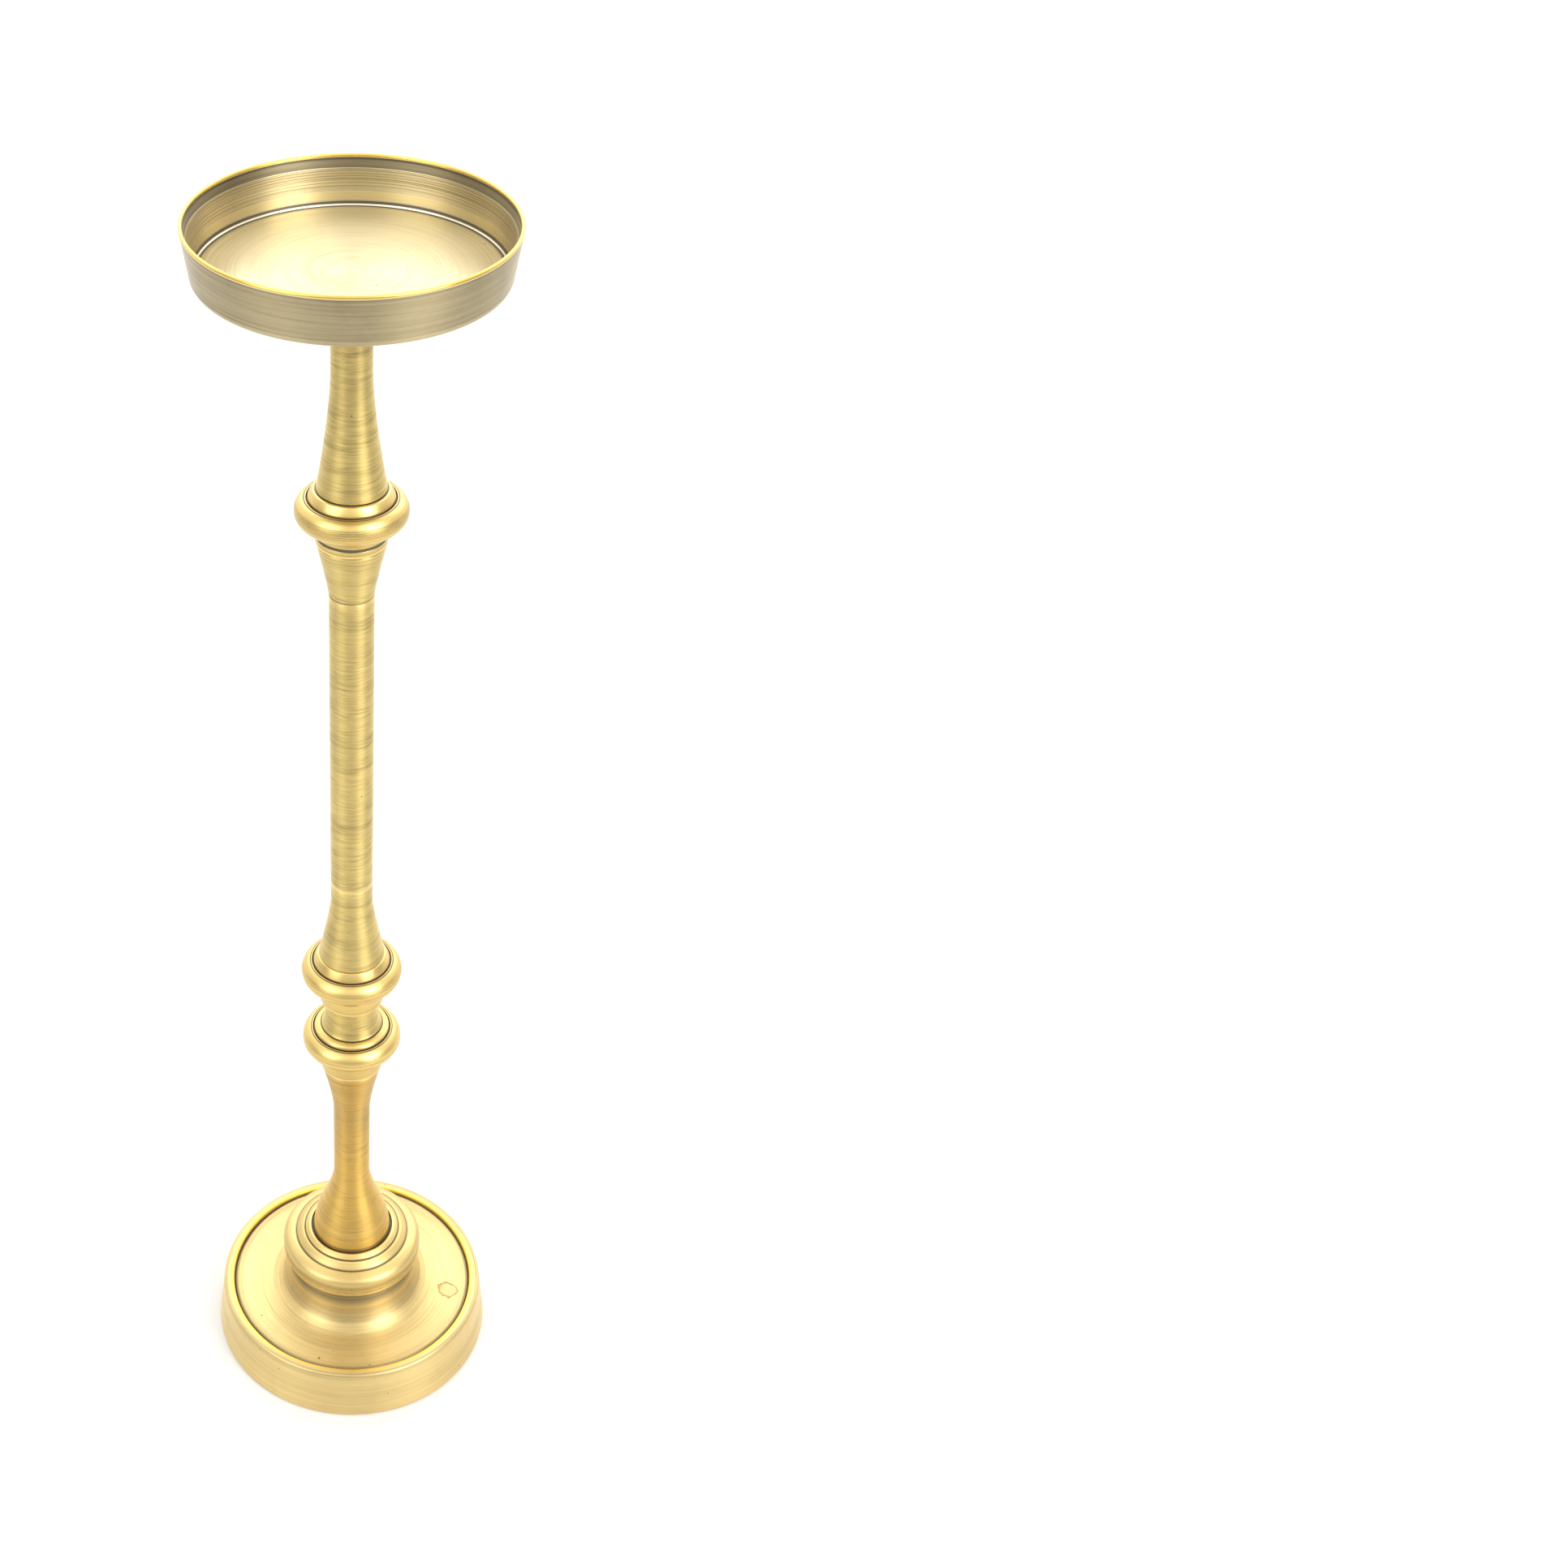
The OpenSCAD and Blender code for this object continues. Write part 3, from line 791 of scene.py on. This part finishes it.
class HOLDER_OT_tube(bpy.types.Operator):
    """Turn the tube and the two flared ferrules that hold it"""

    bl_idname = "holder.tube"
    bl_label = "Tube and ferrules"

    def execute(self, context):
        bore = mm("rod_hole")
        low, top, tube = span("shaft_tube")
        inside = tube - 1
        points = [(inside, top), (inside, low), (tube - 0.08, low, 0.3)]
        points += line(tube, low + 0.2, tube, top - 0.2, 40) + [(tube - 0.08, top, 0.3)]
        turned("stem_tube", points, "stand", stem_finish(), "shaft_tube", 0.6)

        spigot = inside - 0.05
        low, top, _ = span("top_ferrule")
        seam = low + SPIGOT_LENGTH
        points = [
            (bore, top), (bore, low), (spigot - 0.4, low), (spigot, low + 0.4), (spigot, seam),
            (tube - 0.05, seam, 0.3), (tube + 0.03, seam + 0.4, 0.2), (tube - 0.03, seam + 0.75, 0.4),
        ]
        points += flare(tube + 0.1, seam + 0.9, 12, top - 0.6, 1.15) + [(11.8, top, 0.8)]
        turned("ferrule_over_tube", points, "stand", stem_finish(), "top_ferrule")

        low, top, _ = span("bottom_ferrule")
        seam = top - SPIGOT_LENGTH
        points = [(bore, top), (bore, low), (12.3, low, 1), (12.6, low + 0.25, 0.6)]
        points += taper(12.65, low + 0.5, tube, seam - 8.6, 1.2)
        points += [
            (tube, seam - 0.5), (tube - 0.03, seam - 0.3, 0.2), (tube - 0.08, seam, 0.4),
            (spigot, seam), (spigot, top - 0.4), (spigot - 0.4, top),
        ]
        turned("ferrule_under_tube", points, "stand", stem_finish(), "bottom_ferrule")
        return {"FINISHED"}


class HOLDER_OT_spool(bpy.types.Operator):
    """Turn the waisted spool between the two lower collars"""

    bl_idname = "holder.spool"
    bl_label = "Spool"

    def execute(self, context):
        bore = mm("rod_hole")
        low, top, _ = span("spool")
        points = [(bore, top), (bore, low), (11.7, low, 0.9), (11.9, low + 0.3, 0.5)]
        points += taper(11.9, low + 0.6, 10.4, low + 5.5, 2, 12)
        points += flare(10.25, low + 8.8, 11.3, top - 0.9, 2, 10)
        points += [(11.4, top - 0.6), (11.4, top - 0.2, 0.5), (11.2, top, 0.9)]
        turned("waisted_spool", points, "stand", stem_finish(), "spool")
        return {"FINISHED"}


class HOLDER_OT_column(bpy.types.Operator):
    """Turn the lower column: flare, waist and bell in one piece"""

    bl_idname = "holder.column"
    bl_label = "Lower column"

    def execute(self, context):
        bore, waist = mm("rod_hole"), mm("column_waist")
        low, top, reach = span("lower_column")
        head = 11.85
        points = [
            # Painted shade: darker at the foot, where the bell stands in the stepped collar's recess.
            (bore, top), (bore, low), (reach - 0.3, low, 1), (reach, low + 0.5, 0.8),
            (reach, low + 1.8, 0.4),
        ]
        points += ogee(reach, low + 3.6, waist, low + 35.6)
        points += toned(flare(waist, top - 24.9, head, top - 0.6, 1.4), 0.24)
        points += [(head, top - 0.3, 0.5), (head - 0.25, top, 0.9)]
        turned("bell_column", points, "stand", column_finish(), "lower_column")
        return {"FINISHED"}


class HOLDER_OT_stepped_collar(bpy.types.Operator):
    """Turn the stepped collar: two rings over a bead, with a recess for the column"""

    bl_idname = "holder.stepped_collar"
    bl_label = "Stepped collar"

    def execute(self, context):
        bore, recess = mm("rod_hole"), mm("column_recess")
        low, top, reach = span("base_collar")
        seat = top - 1.4
        step = low + 10
        points = [
            (bore, seat), (bore, low), (reach - 0.5, low, 0.8), (reach - 0.2, low + 0.3, 0.3),
            (reach - 0.05, low + 2.1), (reach - 0.22, low + 2.3, 0.7), (reach, low + 2.5),
        ]
        points += toned(line(reach, low + 2.8, reach, step - 4.6, 3), 0.3)
        points += toned(arc(reach - 3.4, step - 4.1, 3.4, 0, 24, 6), 0.2)
        points += arc(reach - 3.4, step - 4.1, 3.4, 28, 62, 8)
        points += [
            (reach - 4.7, step + 0.04, 0.2), (reach - 5.15, step - 0.25, -0.35),
            (reach - 5.5, step - 0.25, -0.3), (reach - 5.75, step + 0.4, 0.2),
            (reach - 6.1, step + 0.75), (reach - 7.4, step + 1.6),
            (reach - 8.5, step + 2.3, 0.2), (reach - 8.95, step + 1.95, -0.35),
            (reach - 9.3, step + 1.95, -0.3), (reach - 9.5, step + 2.75),
            (reach - 10, step + 3.1), (recess + 0.8, step + 3.8),
            # Painted shade on the recess wall round the bell's foot.
            (recess + 0.2, step + 3.75), (recess, step + 3.5, 0.6), (recess, seat, 1),
        ]
        turned("stepped_collar", points, "stand", stepped_finish(), "base_collar")
        return {"FINISHED"}


class HOLDER_OT_dish(bpy.types.Operator):
    """Turn the concave dish and the hub in its middle"""

    bl_idname = "holder.dish"
    bl_label = "Dish"

    def execute(self, context):
        hole, hub, cove = mm("rod_hole") + 0.6, mm("hub_radius"), mm("hub_cove")
        rim_top = span("base_skirt")[1]
        low, top, edge = span("base_dish")
        foot = rim_top - 0.6
        middle = hub + 0.4 + cove
        points = [(hole, top), (hole, top - 2.5), (hub - 2, top - 2.5)]
        points += arc(middle, foot + cove, cove + 2, 180, 270, 16)
        points += [
            # Painted shadow: darkest at the plate's edge under the skirt's rim, fading inwards over the
            # plate.
            (edge - 2.6, low + 0.6), (edge - 2.6, low), (edge, low), (edge, rim_top - 2.1, 1),
            (edge - 0.4, rim_top - 1.3, 1), (edge - 0.9, rim_top - 0.98, 0.95),
            (edge - 1.25, rim_top - 0.95, 0.6), (edge - 1.6, rim_top - 0.96, 0.32),
            (edge - 2.6, rim_top - 1.05, 0.16), (edge - 4.6, rim_top - 1.2), (edge - 9, rim_top - 0.95),
        ]
        points += arc(middle, foot + cove, cove, 270, 225, 12)
        # Painted shade on the top of the hollow and the hub's neck, under the stepped collar's bead.
        points += toned(arc(middle, foot + cove, cove, 221, 180, 12), 0.22)
        points += toned(line(hub, top - 4.6, hub, top - 0.6, 6), 0.5) + [(hub, top, 0.9)]
        turned("concave_dish", points, "stand", base_finish(), "base_dish")
        return {"FINISHED"}


class HOLDER_OT_skirt(bpy.types.Operator):
    """Turn the flared skirt with its rounded rim"""

    bl_idname = "holder.skirt"
    bl_label = "Skirt"

    def execute(self, context):
        ledge, _, edge = span("base_dish")
        low, top, reach = span("base_skirt")
        inside, rim = edge + 0.1, mm("base_rim")
        points = [(reach - 1.9, low), (reach - 0.4, low), (reach, low + 0.5), (reach, low + 1.4)]
        points += line(reach - 0.1, low + 2.4, rim, top - 1.3, 16)
        points += toned(arc(rim - 1.1, top - 1.1, 1.1, 5, 90, 8), 0.6)
        # Painted reflection: deep gold along the inner edge of the rim.
        points += toned(arc(inside + 1, top - 0.9, 0.9, 90, 180, 8), -0.6)
        points += [
            # Painted shadow in the seam between the skirt and the dish.
            (inside, top - 1.4, 0.5), (inside, top - 2.1, 1), (inside, ledge), (inside - 2.4, ledge),
            (inside - 2.4, ledge - 2.3), (rim - 2.6, ledge - 2.3), (rim - 1.9, ledge - 4.3),
        ]
        turned("flared_skirt", points, "stand", base_finish(), "base_skirt")
        return {"FINISHED"}


class HOLDER_OT_fastenings(bpy.types.Operator):
    """Finish the steel fastenings, the cover and the iron ballast, which keep their frame shapes"""

    bl_idname = "holder.fastenings"
    bl_label = "Fastenings and ballast"

    def execute(self, context):
        finishes = dict.fromkeys(STEEL_NODES, material_named("plated_steel", plated_steel))
        finishes["ballast"] = material_named("rough_casting", rough_casting)
        for node, material in finishes.items():
            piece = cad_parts[node]
            if not piece.material_slots:
                piece.data.materials.append(material)
            for slot in piece.material_slots:
                slot.link = "OBJECT"
                slot.material = material
        return {"FINISHED"}


class HOLDER_OT_stud(bpy.types.Operator):
    """Turn the threaded stud with its plate, and the fibre washer under them"""

    bl_idname = "holder.stud"
    bl_label = "Stud and washer"

    def execute(self, context):
        low, top, reach = span("pan_stud")
        pitch, thread = mm("thread_pitch"), mm("thread_radius")
        plate = top - 2
        points = [(0, top), (0, low), (thread - 0.6, low), (thread, low + 0.8)]
        for turn in range(THREAD_TURNS):
            z = low + 1.2 + turn * pitch
            points += [(thread, z), (thread - 0.45, z + 0.45), (thread - 0.45, z + 0.6), (thread, z + 1.05)]
        points += [(thread, plate), (reach - 0.6, plate), (reach, plate + 0.5), (reach, top)]
        steel = material_named("plated_steel", plated_steel)
        turned("stud_and_plate", points, "tray", steel, "pan_stud", 0.5)

        low, top, reach = span("pan_washer")
        hole = thread + 0.3
        points = [
            (hole, top), (hole, low), (reach - 0.1, low), (reach, low + 0.1), (reach, top - 0.1),
            (reach - 0.1, top),
        ]
        fibre = material_named("pressed_fibre", pressed_fibre)
        turned("fibre_washer", points, "washer", fibre, "pan_washer", 0.5)
        return {"FINISHED"}


class HOLDER_OT_felt(bpy.types.Operator):
    """Cut the felt pad that the holder stands on"""

    bl_idname = "holder.felt"
    bl_label = "Felt pad"

    def execute(self, context):
        low, top, reach = span("felt_pad")
        points = [(0, low)] + line(2, low, reach - 0.6, low, 12)
        points += arc(reach - 0.5, low + 0.5, 0.5, -90, 0, 6) + [(reach, top), (0, top)]
        felt = material_named("wool_felt", wool_felt)
        turned("felt_foot", points, "stand", felt, "felt_pad", 0.5)
        return {"FINISHED"}


class HOLDER_OT_studio(bpy.types.Operator):
    """Set up the pale floor, the soft lights and the camera"""

    bl_idname = "holder.studio"
    bl_label = "Studio"

    def execute(self, context):
        self.floor(context.scene)
        self.room(context.scene)
        camera_side = (0, 0, 0.3)
        self.softbox("right_box", (0.85, -0.78, 1.15), camera_side, (0.75, 2.1), 4.0, 70)
        self.softbox("left_box", (-0.95, -0.75, 1.15), camera_side, (0.9, 2.1), 2.2, 70)
        self.softbox("back_box", (0.3, 1.9, 1.6), (0.3, 0.5, 0.1), (3.6, 2.0), 34, 180)
        self.camera(context.scene)
        context.scene.view_settings.view_transform = "Standard"
        return {"FINISHED"}

    def floor(self, scene):
        """A wide, plain floor that glows a little, so it stays even."""
        bm = bmesh.new()
        bmesh.ops.create_grid(bm, x_segments=8, y_segments=8, size=4.0)
        mesh = bpy.data.meshes.new("floor")
        bm.to_mesh(mesh)
        bm.free()
        floor = bpy.data.objects.new("floor", mesh)
        scene.collection.objects.link(floor)
        shader = Shader("pale_floor")
        position = shader.node("ShaderNodeTexCoord", None, None, OBJECT_COORDINATES)
        tooth = shader.node("ShaderNodeTexNoise", None, {"Vector": position, "Scale": 260.0, "Detail": 3.0})
        mesh.materials.append(shader.surface(
            {
                "Base Color": colours().floor, "Roughness": 0.9, "Specular IOR Level": 0.1,
                "Emission Color": (1.0, 1.0, 1.0), "Emission Strength": 0.16,
            },
            bump=tooth, bump_strength=0.05, bump_distance=0.2 * MM,
        ))

    def room(self, scene):
        """A room that is bright overhead and at the back, and dim low down on the camera's side."""
        world = bpy.data.worlds.new("studio")
        scene.world = world
        world.use_nodes = True
        sky = Shader("studio", world.node_tree)
        ray = sky.node("ShaderNodeTexCoord")
        split = sky.node("ShaderNodeSeparateXYZ", None, [ray])
        back, up = split.sibling(1), split.sibling(2)
        bright = back.step(-0.1, 0.7) + up.step(0.06, 0.5)
        colour = sky.mix(bright.at_most(1.0), (0.13, 0.13, 0.14), (1.0, 1.0, 1.0))
        background = sky.node("ShaderNodeBackground", None, {"Color": colour, "Strength": 1.15})
        sky.node("ShaderNodeOutputWorld", None, {"Surface": background})

    def softbox(self, name, where, aim, size, power, spread):
        """A large soft area light that looks at a point."""
        light = bpy.data.lights.new(name, "AREA")
        light.shape = "RECTANGLE"
        light.size, light.size_y = size
        light.energy = power
        light.spread = math.radians(spread)
        lamp = bpy.data.objects.new(name, light)
        lamp.location = where
        lamp.rotation_euler = (Vector(aim) - Vector(where)).to_track_quat("-Z", "Y").to_euler()
        bpy.context.scene.collection.objects.link(lamp)

    def camera(self, scene):
        """The camera, in front of the holder and looking down on it."""
        studio = scene.holder_studio
        lens = bpy.data.cameras.new("camera")
        lens.sensor_width = 36
        lens.lens = studio.lens
        lens.shift_x = studio.shift
        lens.clip_start, lens.clip_end = 0.02, 30
        camera = bpy.data.objects.new("camera", lens)
        camera.location = (0, -studio.camera_back, studio.camera_height)
        camera.rotation_euler = (math.pi / 2 - studio.camera_tilt, 0, 0)
        scene.collection.objects.link(camera)
        scene.camera = camera


class HOLDER_PT_panel(bpy.types.Panel):
    """Lists the pieces, their sizes and their colours"""

    bl_label = "Candle Holder"
    bl_idname = "HOLDER_PT_panel"
    bl_space_type = "VIEW_3D"
    bl_region_type = "UI"
    bl_category = "Candle Holder"

    def draw(self, context):
        column = self.layout.column()
        for operator in OPERATORS:
            column.operator(operator.bl_idname)
        scene = context.scene
        for group in (scene.holder_sizes, scene.holder_colours, scene.holder_studio):
            for name in group.__annotations__:
                column.prop(group, name)


OPERATORS = (
    HOLDER_OT_pan,
    HOLDER_OT_collars,
    HOLDER_OT_upper_taper,
    HOLDER_OT_tube,
    HOLDER_OT_spool,
    HOLDER_OT_column,
    HOLDER_OT_stepped_collar,
    HOLDER_OT_dish,
    HOLDER_OT_skirt,
    HOLDER_OT_fastenings,
    HOLDER_OT_stud,
    HOLDER_OT_felt,
    HOLDER_OT_studio,
)
CLASSES = (HolderSizes, HolderColours, StudioSizes, *OPERATORS, HOLDER_PT_panel)


def register():
    for cls in CLASSES:
        bpy.utils.register_class(cls)
    bpy.types.Scene.holder_sizes = bpy.props.PointerProperty(type=HolderSizes)
    bpy.types.Scene.holder_colours = bpy.props.PointerProperty(type=HolderColours)
    bpy.types.Scene.holder_studio = bpy.props.PointerProperty(type=StudioSizes)


def unregister():
    del bpy.types.Scene.holder_studio
    del bpy.types.Scene.holder_colours
    del bpy.types.Scene.holder_sizes
    for cls in reversed(CLASSES):
        bpy.utils.unregister_class(cls)


def main():
    register()
    bpy.ops.holder.pan()
    bpy.ops.holder.collars()
    bpy.ops.holder.upper_taper()
    bpy.ops.holder.tube()
    bpy.ops.holder.spool()
    bpy.ops.holder.column()
    bpy.ops.holder.stepped_collar()
    bpy.ops.holder.dish()
    bpy.ops.holder.skirt()
    bpy.ops.holder.fastenings()
    bpy.ops.holder.stud()
    bpy.ops.holder.felt()
    bpy.ops.holder.studio()


if __name__ == "__main__":
    main()
